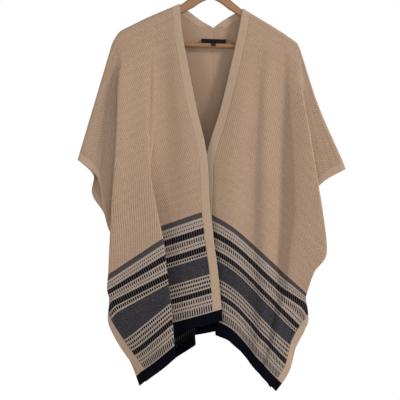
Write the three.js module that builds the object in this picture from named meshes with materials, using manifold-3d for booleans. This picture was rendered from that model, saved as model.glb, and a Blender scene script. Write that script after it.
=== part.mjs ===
// A knitted open-front poncho on a wooden hanger.
// Millimetres, +Z up, the front of the garment faces -Y. The origin is the inside top of the hook,
// where a rail carries it. "Right" and "left" are the wearer's, so right is at -X.
import * as THREE from "three";
import { mergeVertices } from "three/addons/utils/BufferGeometryUtils.js";
import Module from "manifold-3d";

const solids = await Module();
solids.setup();

// Driving dimensions of the cloth
const WALL = 2.2; // thickness of the knit
const SEAM_GAP = 0.3; // clear distance between two pieces at a seam
const BAND_WIDTH = 21; // plain band along the front edge and the back neck
const BORDER_WIDTH = 20; // plain border along the side and the cuff
const HEM_HEIGHT = 27; // navy band at the bottom
const FRONT_LENGTH = 771; // shoulder line to front hem
const BACK_LENGTH = 836; // shoulder line to back hem, over the neck point
const NECK_DROP = 102; // shoulder line to the top of the centre back seam
const FOLD_RADIUS = 4.5; // how tightly the cloth turns at a sharp fold
const SEAM_DEPTH = (WALL + SEAM_GAP) / 2; // half the distance between the two cloths at a side seam

// Driving dimensions of the hanger
const ARM_THICKNESS = 12;
const BAR_RADIUS = 5.5;
const WIRE_RADIUS = 1.8;
const HOOK_RADIUS = 19; // of the wire's centre line
const OVER_ARM = ARM_THICKNESS / 2 + 0.5 + WALL / 2; // radius of the cloth's turn over the arm

const beige = { color: 0xb09a82, roughness: 0.95, metalness: 0 };
const beigeBand = { color: 0xb8a48d, roughness: 0.95, metalness: 0 };
const navy = { color: 0x0b0d1a, roughness: 0.95, metalness: 0 };
const blackSatin = { color: 0x101012, roughness: 0.6, metalness: 0 };
const brownSatin = { color: 0x261816, roughness: 0.7, metalness: 0 };
const wood = { color: 0xa07850, roughness: 0.45, metalness: 0 };
const steel = { color: 0xb8bcc0, roughness: 0.25, metalness: 1 };

// The cloth is drawn by its folds. A row of a table is one course of the knit, at its distance
// down from the shoulder line. A column is one fold line, as [x, z, depth], where depth is the
// distance in front of the hanger's middle plane, or behind it for a back table:
//   edge    the front edge, which goes on as the back neck and the centre back seam
//   tuck    the hidden fold of the pleat        ridge  its visible fold
//   crease  the fold over the sleeve            under  the fold beneath it
//   side    the cuff, and below the armhole the side seam
//   border  where the border is sewn on, a border's width from the side unless a row says else
// pleat, over and below say how sharply the pleat, the crease and the fold beneath it turn, and
// wrap how far the border turns round the garment's outline. neck marks the neck point.
const RIGHT_TOP = {
  edge: [-73, -103], tuck: [-135, -129], ridge: [-155, -138],
  crease: [-218, -169], under: [-234, -194], side: [-318, -477],
};
const RIGHT_FRONT = [
  { down: 60, edge: [-69, -163, 11], tuck: [-132, -190, 9], ridge: [-152, -199, 11],
    crease: [-215, -226, 13], under: [-226, -254, 8], side: [-272, -517, 10],
    pleat: 0, over: 0, below: 0 },
  { down: 130, edge: [-57, -231, 15], tuck: [-128, -261, 12], ridge: [-150, -271, 15],
    crease: [-221, -303, 21], under: [-193, -314, 9], side: [-259, -584, 11],
    pleat: 0.1, over: 1, below: 1 },
  { down: 250, edge: [-34, -349, 20], tuck: [-134, -386, 17], ridge: [-150, -393, 22],
    crease: [-226, -434, 28], under: [-185, -456, 11], side: [-240, -652, SEAM_DEPTH],
    pleat: 0.2, over: 1, below: 1 },
  { down: 365, edge: [-9, -462, 24], tuck: [-146, -510, 18], ridge: [-142, -518, 29],
    crease: [-235, -579, 28], under: [-202, -592, 12], side: [-206, -684, SEAM_DEPTH],
    pleat: 0.7, over: 1, below: 0.3 },
  { down: 500, edge: [-1, -595, 26], tuck: [-159, -650, 19], ridge: [-114, -665, 40],
    crease: [-244, -751, 24], under: [-232, -758, 12], side: [-190, -786, SEAM_DEPTH],
    pleat: 1, over: 1, below: 0 },
  { down: 540, edge: [4, -635, 26], tuck: [-159, -690, 20], ridge: [-108, -706, 42],
    crease: [-245, -791, 23], under: [-239, -799, 12], side: [-208, -820, SEAM_DEPTH],
    pleat: 1, over: 0.7, below: 0 },
  { down: 590, edge: [10, -685, 26], tuck: [-159, -740, 20], ridge: [-102, -757, 43],
    crease: [-229, -821, 26], under: [-238, -831, 21], side: [-240, -860, SEAM_DEPTH],
    border: [-243, -842, 14], pleat: 1, over: 0, below: 0, wrap: 0.8 },
  { down: 640, edge: [17, -735, 26], tuck: [-159, -789, 21], ridge: [-96, -808, 45],
    crease: [-190, -884, 26], under: [-202, -893, 20], side: [-226, -909, SEAM_DEPTH],
    pleat: 1, over: 0, below: 0 },
  { down: 767, edge: [29, -861, 26], tuck: [-159, -911, 22], ridge: [-84, -949, 47],
    crease: [-126, -986, 28], under: [-134, -992, 20], side: [-155, -1009, 4],
    pleat: 1, over: 0, below: 0 },
];
const RIGHT_BACK = [
  { down: 60, edge: [-23, -141, 8], tuck: [-127, -180, 9], ridge: [-149, -190, 8.5],
    crease: [-212, -220, 11], under: [-224, -248, 8], side: [-281, -515, 9],
    pleat: 0, over: 0, below: 0 },
  { down: 98, edge: [7, -158, 9], tuck: [-121, -212, 10], ridge: [-145, -222, 9],
    crease: [-215, -256, 16], under: [-213, -278, 8], side: [-285, -558, 14], neck: true,
    pleat: 0, over: 0.6, below: 0.6 },
  { down: 160, edge: [6, -220, 10], tuck: [-114, -270, 13], ridge: [-137, -279, 10],
    crease: [-216, -318, 20], under: [-194, -334, 8], side: [-257, -603, 10],
    pleat: 0.1, over: 1, below: 1 },
  { down: 250, edge: [6, -310, 12], tuck: [-104, -357, 18], ridge: [-119, -364, 12],
    crease: [-219, -412, 23], under: [-190, -432, 9], side: [-240, -652, SEAM_DEPTH],
    pleat: 0.3, over: 1, below: 1 },
  { down: 390, edge: [9, -450, 15], tuck: [-75, -484, 26], ridge: [-78, -488, 14],
    crease: [-226, -568, 22], under: [-200, -586, 9], side: [-206, -684, SEAM_DEPTH],
    pleat: 0.7, over: 1, below: 0.3 },
  { down: 545, edge: [11, -605, 18], tuck: [-66, -635, 31], ridge: [-56, -640, 15],
    crease: [-239, -738, 20], under: [-227, -749, 11], side: [-190, -786, SEAM_DEPTH],
    pleat: 1, over: 1, below: 0 },
  { down: 635, edge: [12, -695, 19], tuck: [-64, -721, 33], ridge: [-50, -731, 16],
    crease: [-225, -820, 22], under: [-233, -831, 17], side: [-238, -860, SEAM_DEPTH],
    border: [-239, -842, 11], pleat: 1, over: 0, below: 0, wrap: 0.8 },
  { down: 700, edge: [12, -760, 20], tuck: [-62, -784, 34], ridge: [-44, -795, 16],
    crease: [-188, -884, 20], under: [-199, -893, 15], side: [-223, -914, SEAM_DEPTH],
    pleat: 1, over: 0, below: 0 },
  { down: 765, edge: [12.5, -824, 21], tuck: [-60, -845, 35], ridge: [-40, -858, 16.5],
    crease: [-161, -939, 20], under: [-171, -948, 15], side: [-192, -962, SEAM_DEPTH],
    pleat: 1, over: 0, below: 0 },
  { down: 832, edge: [13, -890, 22], tuck: [-58, -905, 36], ridge: [-36, -923, 17],
    crease: [-138, -994, 20], under: [-148, -1002, 14], side: [-170, -1020, 4],
    pleat: 1, over: 0, below: 0 },
];
const LEFT_TOP = {
  edge: [77, -114], tuck: [145, -155], ridge: [174, -173],
  crease: [208, -197], under: [214, -211], side: [324, -499],
};
const LEFT_FRONT = [
  { down: 60, edge: [66, -174, 9.5], tuck: [141, -216, 13], ridge: [178, -239, 9],
    crease: [214, -266, 17], under: [223, -292, 11], side: [270, -530, 10],
    pleat: 0, over: 0, below: 0 },
  { down: 130, edge: [51, -242, 10.5], tuck: [135, -289, 18], ridge: [176, -313, 9],
    crease: [228, -362, 27], under: [214, -374, 13], side: [228, -580, 10],
    pleat: 0, over: 1, below: 1 },
  { down: 250, edge: [23, -357, 11], tuck: [133, -421, 22], ridge: [173, -446, 9],
    crease: [255, -530, 31], under: [212, -548, 13], side: [208, -640, SEAM_DEPTH],
    pleat: 0, over: 1, below: 1 },
  { down: 365, edge: [-10, -467, 11], tuck: [134, -551, 26], ridge: [172, -582, 9],
    crease: [276, -695, 30], under: [238, -712, 14], side: [182, -690, SEAM_DEPTH],
    pleat: 0, over: 1, below: 0 },
  { down: 430, edge: [-12.5, -531, 11], tuck: [133, -627, 28], ridge: [169, -658, 10],
    crease: [247, -745, 28], under: [225, -755, 14], side: [184, -748, SEAM_DEPTH],
    pleat: 0, over: 1, below: 0 },
  { down: 500, edge: [-14, -599, 11], tuck: [132, -707, 29], ridge: [166, -739, 13],
    crease: [229, -796, 24], under: [220, -801, 13], side: [188, -810, SEAM_DEPTH],
    pleat: 0, over: 0.9, below: 0 },
  { down: 540, edge: [-11, -640, 11], tuck: [131, -749, 30], ridge: [164, -780, 15],
    crease: [223, -818, 22], under: [230, -829, 18], side: [227, -859, SEAM_DEPTH],
    border: [233, -841, 12], pleat: 0, over: 0, below: 0, wrap: 0.8 },
  { down: 580, edge: [-8, -681, 11], tuck: [131, -791, 30], ridge: [158, -818, 17],
    crease: [196, -856, 22], under: [206, -866, 16], side: [226, -886, SEAM_DEPTH],
    pleat: 0, over: 0, below: 0 },
  { down: 640, edge: [-3, -741, 11], tuck: [128, -851, 30], ridge: [149, -873, 20],
    crease: [177, -899, 22], under: [186, -907, 16], side: [206, -924, SEAM_DEPTH],
    pleat: 0, over: 0, below: 0 },
  { down: 700, edge: [3, -806, 11], tuck: [119, -910, 30], ridge: [137, -927, 21],
    crease: [161, -955, 22], under: [169, -963, 17], side: [189, -984, SEAM_DEPTH],
    pleat: 0, over: 0, below: 0 },
  { down: 767, edge: [12, -897, 11], tuck: [102, -973, 30], ridge: [115, -987, 23],
    crease: [130, -1004, 23], under: [138, -1012, 17], side: [157, -1032, 4],
    pleat: 0, over: 0, below: 0 },
];
const LEFT_BACK = [
  { down: 60, edge: [33, -140, 8], tuck: [143, -211, 10], ridge: [181, -238, 11],
    crease: [210, -258, 14], under: [219, -284, 11], side: [268, -524, 10],
    pleat: 0, over: 0, below: 0 },
  { down: 98, edge: [7, -158, 9], tuck: [143, -249, 12], ridge: [184, -277, 12],
    crease: [213, -304, 19], under: [211, -328, 12], side: [243, -550, 10], neck: true,
    pleat: 0, over: 0.6, below: 0.6 },
  { down: 160, edge: [6, -220, 10], tuck: [143, -318, 17], ridge: [185, -348, 13],
    crease: [222, -390, 23], under: [206, -408, 13], side: [224, -586, 9],
    pleat: 0, over: 1, below: 1 },
  { down: 250, edge: [6, -310, 12], tuck: [143, -417, 22], ridge: [187, -458, 14],
    crease: [240, -506, 26], under: [210, -526, 13], side: [208, -640, SEAM_DEPTH],
    pleat: 0, over: 1, below: 1 },
  { down: 390, edge: [9, -450, 15], tuck: [143, -573, 28], ridge: [188, -618, 15],
    crease: [262, -680, 26], under: [232, -700, 14], side: [182, -690, SEAM_DEPTH],
    pleat: 0, over: 1, below: 0 },
  { down: 545, edge: [11, -605, 18], tuck: [138, -720, 31], ridge: [176, -757, 16],
    crease: [225, -798, 23], under: [216, -804, 13], side: [188, -810, SEAM_DEPTH],
    pleat: 0, over: 0.9, below: 0 },
  { down: 595, edge: [12, -655, 19], tuck: [135, -765, 32], ridge: [170, -800, 17],
    crease: [214, -822, 20], under: [222, -833, 16], side: [224, -861, SEAM_DEPTH],
    border: [228, -844, 12], pleat: 0, over: 0, below: 0, wrap: 0.8 },
  { down: 700, edge: [12, -760, 20], tuck: [124, -861, 32], ridge: [152, -888, 17],
    crease: [172, -904, 19], under: [182, -912, 15], side: [203, -931, SEAM_DEPTH],
    pleat: 0, over: 0, below: 0 },
  { down: 832, edge: [13, -890, 22], tuck: [92, -953, 32], ridge: [105, -969, 20],
    crease: [117, -986, 20], under: [126, -998, 15], side: [144, -1024, 4],
    pleat: 0, over: 0, below: 0 },
];

// The way each half faces along Y
const FRONT = -1;
const BACK = 1;

// Softer folds between those lines: where they lie from one line to the next, and how far
// they stand out from the straight cloth half way down and at the hem. sag is how far the sleeve's
// upper line hangs in from the straight one, and lift how far the hem rides up there.
const RIGHT_FRONT_WAVES = [
  { after: "edge", at: 0.36, middle: 5, hem: 4 },
  { after: "edge", at: 0.7, middle: -6, hem: -2 },
  { after: "ridge", at: 0.5, middle: 2, hem: 12 },
  { after: "under", at: 0.5, middle: 4, hem: 0 },
];
const RIGHT_BACK_WAVES = [
  { after: "edge", at: 0.36, middle: 2, hem: -4 },
  { after: "edge", at: 0.7, middle: 3, hem: 2 },
  { after: "ridge", at: 0.5, middle: 12, hem: 22 },
  { after: "under", at: 0.5, middle: 4, hem: 0 },
];
const LEFT_FRONT_WAVES = [
  { after: "edge", at: 0.42, middle: 6, hem: 9, lift: 16 },
  { after: "edge", at: 0.78, middle: -10, hem: -8, lift: 9 },
  { after: "ridge", at: 0.34, middle: 18, hem: 6 },
  { after: "under", at: 0.5, middle: 4, hem: 0, sag: 7.5 },
];
const LEFT_BACK_WAVES = [
  { after: "edge", at: 0.36, middle: 10, hem: 16 },
  { after: "edge", at: 0.72, middle: -7, hem: -12 },
  { after: "ridge", at: 0.5, middle: 9, hem: 5 },
  { after: "under", at: 0.5, middle: 4, hem: 0, sag: 7.5 },
];

const LINES = ["edge", "tuck", "ridge", "crease", "under", "border", "side"];

// The row's border seam, where it has none of its own: on the straight way from under to side
function withBorder(row) {
  if (row.border) return row;
  const way = row.side.map((value, i) => value - row.under[i]);
  const length = Math.hypot(...way);
  const border = row.side.map((value, i) => value - way[i] / length * BORDER_WIDTH);
  return { ...row, border };
}

// One half of the cloth, front or back of one side, from its top row and its table
function makeHalf(top, table, waves, outward, cloth) {
  const first = { down: 0, pleat: 0, over: 0, below: 0 };
  for (const line of Object.keys(top)) first[line] = [...top[line], OVER_ARM];
  return { rows: [first, ...table].map(withBorder), waves, outward, cloth };
}

// A smooth value down the rows of a table. A flat one never swings past the values of its rows.
function alongRows(rows, read, down, flat) {
  const last = rows.length - 1;
  let i = 0;
  while (i < last - 1 && down > rows[i + 1].down) i += 1;
  const rise = (k) => (read(rows[k + 1]) - read(rows[k])) / (rows[k + 1].down - rows[k].down);
  const slope = (k) => {
    if (k === 0 || k === last) return flat ? 0 : rise(k === 0 ? 0 : last - 1);
    const [a, b] = [rise(k - 1), rise(k)];
    if (flat) return a * b <= 0 ? 0 : 2 * a * b / (a + b);
    return (read(rows[k + 1]) - read(rows[k - 1])) / (rows[k + 1].down - rows[k - 1].down);
  };
  const [a, b] = [rows[i], rows[i + 1]];
  const span = b.down - a.down;
  const t = (down - a.down) / span;
  const [t2, t3] = [t * t, t * t * t];
  return (2 * t3 - 3 * t2 + 1) * read(a) + (t3 - 2 * t2 + t) * span * slope(i)
    + (3 * t2 - 2 * t3) * read(b) + (t3 - t2) * span * slope(i + 1);
}

// The cloth turns over the hanger's arm in a half circle, so the first bit of its length goes
// into that turn.
const TURN_LENGTH = OVER_ARM * Math.PI / 2;
function overArm(distance) {
  if (distance >= TURN_LENGTH) {
    return { drop: distance - TURN_LENGTH + OVER_ARM, past: distance - TURN_LENGTH, share: 1 };
  }
  const angle = distance / OVER_ARM;
  return { drop: OVER_ARM * (1 - Math.cos(angle)), past: 0, share: Math.sin(angle) };
}

// The edge turns a corner at the neck point, so its way above and below it are curves of their own
function edgeRows(half, drop) {
  const neck = half.rows.findIndex((row) => row.neck);
  if (neck < 0) return half.rows;
  return drop < half.rows[neck].down ? half.rows.slice(0, neck + 1) : half.rows.slice(neck);
}

function linePoint(half, line, distance) {
  const { drop, past, share } = overArm(distance);
  const rows = line === "edge" ? edgeRows(half, drop) : half.rows;
  const x = alongRows(rows, (row) => row[line][0], drop);
  const z = alongRows(rows, (row) => row[line][1], drop);
  const depth = share * alongRows(half.rows, (row) => row[line][2], past, true);
  return new THREE.Vector3(x, half.outward * depth, z);
}

const SAG_LENGTH = 150; // how far down the cloth the sleeve's sag reaches
function wavePoint(half, wave, from, to, distance) {
  const reach = distance / half.cloth;
  const rise = Math.min(1, reach * 4) * wave.middle * Math.max(0, 1 - Math.abs(2 * reach - 1))
    + Math.max(0, 2 * reach - 1) * wave.hem;
  const sag = (wave.sag ?? 0) * Math.max(0, 1 - distance / SAG_LENGTH);
  const lift = (wave.lift ?? 0) * reach;
  return from.clone().lerp(to, wave.at)
    .add(new THREE.Vector3(-Math.sign(to.x) * sag, half.outward * rise, lift));
}

const unit = (a, b) => b.clone().sub(a).normalize();

// The three points of a fold and the cloth's heading at each: turn is the way it turns there
function foldPoints(before, at, after, turn, amount) {
  const into = unit(before, at);
  const out = unit(at, after);
  const reach = Math.min(before.distanceTo(at), at.distanceTo(after));
  const radius = Math.min(FOLD_RADIUS, 0.3 * reach / (1 + amount));
  const heading = into.clone().add(out).multiplyScalar((1 - amount) / 2)
    .addScaledVector(turn, amount).normalize();
  return [
    { at: at.clone().addScaledVector(into, -radius).addScaledVector(turn, -radius * amount),
      heading: into },
    { at, heading },
    { at: at.clone().addScaledVector(out, radius).addScaledVector(turn, radius * amount),
      heading: out },
  ];
}

// All the points that one course of the knit passes through, from the edge to the side
const courses = new Map();
function course(half, distance) {
  const key = `${half.name} ${distance.toFixed(4)}`;
  if (courses.has(key)) return courses.get(key);
  const p = {};
  for (const line of LINES) p[line] = linePoint(half, line, distance);
  const [first, second, third, fourth] = half.waves;
  const soft = (wave, to) => wavePoint(half, wave, p[wave.after], p[to], distance);
  const nearEdge = soft(first, "tuck");
  const nearTuck = soft(second, "tuck");
  const middle = soft(third, "crease");
  const sleeve = soft(fourth, "border");
  const amount = (name) => alongRows(half.rows, (row) => row[name] ?? 0,
    overArm(distance).past, true);
  const toViewer = new THREE.Vector3(0, -1, 0);
  const inward = new THREE.Vector3(0, -half.outward, 0);
  const points = [
    { at: p.edge }, { at: nearEdge }, { at: nearTuck },
    ...foldPoints(nearTuck, p.tuck, p.ridge, toViewer, amount("pleat")),
    ...foldPoints(p.tuck, p.ridge, middle, toViewer, amount("pleat")),
    { at: middle },
    ...foldPoints(middle, p.crease, p.under, inward, amount("over")),
    ...foldPoints(p.crease, p.under, sleeve, inward, amount("below")),
    { at: sleeve }, { at: p.border }, { at: p.side },
  ];
  points.forEach((point, i) => {
    const before = points[Math.max(i - 1, 0)].at;
    const after = points[Math.min(i + 1, points.length - 1)].at;
    point.heading = point.heading ?? unit(before, after);
  });
  const last = points.length - 1;
  points[last - 1].heading.lerp(unit(points[last - 2].at, points[last - 1].at), amount("wrap"));
  const toMiddle = new THREE.Vector3(-Math.sign(p.side.x), 0, 0);
  points[last].heading.lerp(toMiddle, amount("wrap")).normalize();
  // The two backs meet flat at the centre seam
  if (half.outward === BACK) points[0].heading.setY(0).normalize();
  courses.set(key, points);
  return points;
}

// A point of the cloth: position counts the spans of the course from the edge, and distance is
// below the shoulder line, negative in front of it
function clothPoint(side, position, distance) {
  const half = distance < 0 ? side.front : side.back;
  const points = course(half, Math.abs(distance));
  const i = Math.min(Math.floor(position), points.length - 2);
  const t = position - i;
  const [a, b] = [points[i], points[i + 1]];
  const pull = 1.1 * a.at.distanceTo(b.at);
  const [t2, t3] = [t * t, t * t * t];
  return new THREE.Vector3()
    .addScaledVector(a.at, 2 * t3 - 3 * t2 + 1)
    .addScaledVector(a.heading, (t3 - 2 * t2 + t) * pull)
    .addScaledVector(b.at, 3 * t2 - 2 * t3)
    .addScaledVector(b.heading, (t3 - t2) * pull);
}

const LAST_SPAN = 18;
const BORDER_SPAN = 17; // where the border starts

// The lengths of cloth from the edge to a run of positions on a course
const STEPS_A_SPAN = 12;
const measured = new Map();
function lengthsAlong(side, distance) {
  const key = `${side.front.name} ${distance.toFixed(4)}`;
  if (measured.has(key)) return measured.get(key);
  const lengths = [0];
  let before = clothPoint(side, 0, distance);
  for (let k = 1; k <= LAST_SPAN * STEPS_A_SPAN; k += 1) {
    const here = clothPoint(side, k / STEPS_A_SPAN, distance);
    lengths.push(lengths[k - 1] + here.distanceTo(before));
    before = here;
  }
  measured.set(key, lengths);
  return lengths;
}

// The position that lies a length of cloth away from the edge
function positionAt(side, distance, length) {
  const lengths = lengthsAlong(side, distance);
  let k = 1;
  while (k < lengths.length - 1 && lengths[k] < length) k += 1;
  const share = (length - lengths[k - 1]) / (lengths[k] - lengths[k - 1]);
  return (k - 1 + share) / STEPS_A_SPAN;
}

// The border's seam, moved a little: shift is a length of cloth, positive towards the side
function borderSeam(side, distance, shift) {
  const lengths = lengthsAlong(side, distance);
  const seam = BORDER_SPAN * STEPS_A_SPAN;
  const step = shift > 0 ? lengths[seam + 1] - lengths[seam] : lengths[seam] - lengths[seam - 1];
  return BORDER_SPAN + shift / step / STEPS_A_SPAN;
}

function clothNormal(side, position, distance) {
  const a = Math.max(0, position - 0.04);
  const b = Math.min(LAST_SPAN, position + 0.04);
  const across = clothPoint(side, b, distance).sub(clothPoint(side, a, distance));
  const limit = (d) => Math.min(BACK_LENGTH, Math.max(-FRONT_LENGTH, d));
  const down = clothPoint(side, position, limit(distance + 1))
    .sub(clothPoint(side, position, limit(distance - 1)));
  return across.cross(down).normalize();
}

// A closed wall on a grid of cloth points, one list of positions for each course
function clothWall(side, distances, positionsOf, thickness = WALL) {
  const count = positionsOf(distances[0]).length;
  const vertices = [];
  for (const face of [1, -1]) {
    for (const distance of distances) {
      for (const position of positionsOf(distance)) {
        const point = clothPoint(side, position, distance)
          .addScaledVector(clothNormal(side, position, distance), face * thickness / 2);
        vertices.push(point.x, point.y, point.z);
      }
    }
  }
  const back = distances.length * count;
  const index = [];
  const quad = (a, b, c, d) => index.push(a, b, c, a, c, d);
  for (let i = 0; i + 1 < distances.length; i += 1) {
    for (let j = 0; j + 1 < count; j += 1) {
      const k = i * count + j;
      quad(k, k + 1, k + count + 1, k + count);
      quad(back + k, back + k + count, back + k + count + 1, back + k + 1);
    }
  }
  const rim = (k, next) => quad(k, k + back, next + back, next);
  for (let j = 0; j + 1 < count; j += 1) {
    rim(j, j + 1);
    rim(back - 1 - j, back - 2 - j);
  }
  for (let i = 0; i + 1 < distances.length; i += 1) {
    rim((i + 1) * count, i * count);
    rim(i * count + count - 1, (i + 2) * count - 1);
  }
  return outwards(vertices, index);
}

// A geometry whose faces look outwards, turned over where its volume comes out negative
function outwards(vertices, index) {
  let volume = 0;
  const corner = (k) => new THREE.Vector3().fromArray(vertices, 3 * index[k]);
  for (let k = 0; k < index.length; k += 3) {
    volume += corner(k).dot(corner(k + 1).cross(corner(k + 2)));
  }
  if (volume < 0) {
    for (let k = 0; k < index.length; k += 3) {
      [index[k + 1], index[k + 2]] = [index[k + 2], index[k + 1]];
    }
  }
  const geometry = new THREE.BufferGeometry();
  geometry.setAttribute("position", new THREE.Float32BufferAttribute(vertices, 3));
  geometry.setIndex(index);
  geometry.computeVertexNormals();
  return geometry;
}

function toSolid(geometry) {
  const bare = new THREE.BufferGeometry();
  bare.setAttribute("position", geometry.getAttribute("position"));
  if (geometry.index) bare.setIndex(geometry.index);
  const merged = mergeVertices(bare, 1e-4);
  return new solids.Manifold(new solids.Mesh({
    numProp: 3,
    vertProperties: merged.getAttribute("position").array,
    triVerts: new Uint32Array(merged.index.array),
  }));
}

// What is left of a geometry, in one body, once the cutters are taken away
function cutBy(geometry, ...cutters) {
  const left = cutters.reduce((solid, cutter) => solid.subtract(toSolid(cutter)),
    toSolid(geometry));
  const bodies = left.decompose().sort((a, b) => b.volume() - a.volume());
  const mesh = bodies[0].getMesh();
  const cut = new THREE.BufferGeometry();
  cut.setAttribute("position", new THREE.BufferAttribute(mesh.vertProperties, 3));
  cut.setIndex(new THREE.BufferAttribute(mesh.triVerts, 1));
  cut.computeVertexNormals();
  return cut;
}

const part = new THREE.Group();
function add(name, geometry, material) {
  const mesh = new THREE.Mesh(geometry, new THREE.MeshStandardMaterial(material));
  mesh.name = name;
  part.add(mesh);
  return mesh;
}

// Where the courses of the solids lie: closer over the shoulder and at the armhole
const COURSES = [
  -690, -640, -600, -560, -520, -475, -430, -385, -340, -295, -250, -205, -160, -115, -65, -30,
  -12, -6, 0, 6, 12, 30, 65, 102, 140, 180, 225, 275, 325, 380, 435, 490, 535, 580, 620, 660,
  710, 760,
];
const PANEL_BOTTOM = -(FRONT_LENGTH - HEM_HEIGHT);
const PANEL_BACK_BOTTOM = BACK_LENGTH - HEM_HEIGHT;
const NECK_MITRE = NECK_DROP - BAND_WIDTH;
const BAND_END = NECK_DROP - 3;

// How many faces each span of a course is cut into
const SPAN_FACES = [2, 2, 2, 1, 1, 2, 1, 1, 2, 2, 2, 2, 1, 2, 2, 2, 2, 2];
function spread(from, to, parts) {
  return Array.from({ length: parts + 1 }, (_, k) => from + (to - from) * k / parts);
}
function positionsBetween(first, last) {
  const list = [];
  for (let span = Math.floor(first); span < last; span += 1) {
    const part = spread(Math.max(span, first), Math.min(span + 1, last), SPAN_FACES[span]);
    list.push(...part.slice(list.length ? 1 : 0));
  }
  return list;
}

// The band narrows to the top of the centre back seam, where the two bands meet in a mitre
function bandWidth(distance) {
  if (distance <= NECK_MITRE) return BAND_WIDTH;
  return BAND_WIDTH * Math.max(0, NECK_DROP - distance) / BAND_WIDTH;
}

function addCloth(name, side) {
  const inside = (from, to) => COURSES.filter((d) => d > from + 3 && d < to - 3);
  const panelCourses = [PANEL_BOTTOM, ...inside(PANEL_BOTTOM, PANEL_BACK_BOTTOM), NECK_MITRE,
    BAND_END, PANEL_BACK_BOTTOM].sort((a, b) => a - b);
  const bandSeam = (distance) => positionAt(side, distance, bandWidth(distance));
  const panelStart = (distance) => (distance > NECK_DROP ? 0
    : positionAt(side, distance, bandWidth(distance) + 1.5 * SEAM_GAP));
  const bandPositions = (distance) => spread(0, bandSeam(distance), 2);
  const panelPositions = (distance) => positionsBetween(
    panelStart(distance), borderSeam(side, distance, -SEAM_GAP / 2));
  const borderPositions = (distance) => positionsBetween(
    borderSeam(side, distance, SEAM_GAP / 2), LAST_SPAN);
  // The knit runs over the shoulder in one length. Its solids are parted at the shoulder line, so
  // that front and back stay two simple walls with the hollow of the garment between them.
  const halves = {
    front: [...panelCourses.filter((d) => d < 0), -SEAM_GAP / 2],
    back: [SEAM_GAP / 2, ...panelCourses.filter((d) => d > 0)],
  };
  for (const [half, courses] of Object.entries(halves)) {
    const border = clothWall(side, courses, borderPositions);
    // Where the cloth doubles back at the side seam, the panel is cut clear of its own border
    const clearOfBorder = clothWall(side, courses, borderPositions, WALL + 2 * SEAM_GAP);
    const panel = clothWall(side, courses, panelPositions);
    add(`${name}_${half}_panel`, cutBy(panel, clearOfBorder, border), beige);
    add(`${name}_${half}_border`, border, beigeBand);
  }

  const bandCourses = [PANEL_BOTTOM, ...inside(PANEL_BOTTOM, BAND_END), NECK_MITRE, BAND_END]
    .sort((a, b) => a - b);
  add(`${name}_front_band`, clothWall(side, bandCourses, bandPositions), beigeBand);

  add(`${name}_front_hem`, clothWall(side, [-FRONT_LENGTH, PANEL_BOTTOM - 2 * SEAM_GAP],
    (distance) => [...bandPositions(distance).slice(0, 2), ...panelPositions(distance),
      ...borderPositions(distance).slice(1)]), navy);
  add(`${name}_back_hem`, clothWall(side, [PANEL_BACK_BOTTOM + 2 * SEAM_GAP, BACK_LENGTH],
    (distance) => [...panelPositions(distance), ...borderPositions(distance).slice(1)]), navy);
}

// The two cloths. Each one runs from the front hem over the shoulder to the back hem.
function makeSide(name, top, frontTable, backTable, frontWaves, backWaves) {
  const front = makeHalf(top, frontTable, frontWaves, FRONT, FRONT_LENGTH);
  const back = makeHalf(top, backTable, backWaves, BACK, BACK_LENGTH);
  front.name = `${name} front`;
  back.name = `${name} back`;
  return { front, back };
}
// The centre back seam keeps its gap: each side's edge is moved half of it away from the seam
function backEdgeMoved(table, shift) {
  return table.map((row) => (row.down < NECK_DROP ? row
    : { ...row, edge: [row.edge[0] + shift, row.edge[1], row.edge[2]] }));
}
const right = makeSide("right", RIGHT_TOP, RIGHT_FRONT, backEdgeMoved(RIGHT_BACK, -SEAM_GAP / 2),
  RIGHT_FRONT_WAVES, RIGHT_BACK_WAVES);
const left = makeSide("left", LEFT_TOP, LEFT_FRONT, backEdgeMoved(LEFT_BACK, SEAM_GAP / 2),
  LEFT_FRONT_WAVES, LEFT_BACK_WAVES);
addCloth("right", right);
addCloth("left", left);

// The wooden hanger: two sloping arms in one piece, tilted with the weight of the cloth
const ARM_LOWERED = OVER_ARM - 4.6; // below the middle of the cloth wall that lies over it
const HANGER_TOP = -62;
const UNDERSIDE_APEX = -90;
const ARM_BEVEL = 4;
const BAR_ENDS = [[-212, -195.8], [204, -207.2]];
const barHeight = (x) => BAR_ENDS[0][1]
  + (BAR_ENDS[1][1] - BAR_ENDS[0][1]) * (x - BAR_ENDS[0][0]) / (BAR_ENDS[1][0] - BAR_ENDS[0][0]);

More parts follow.
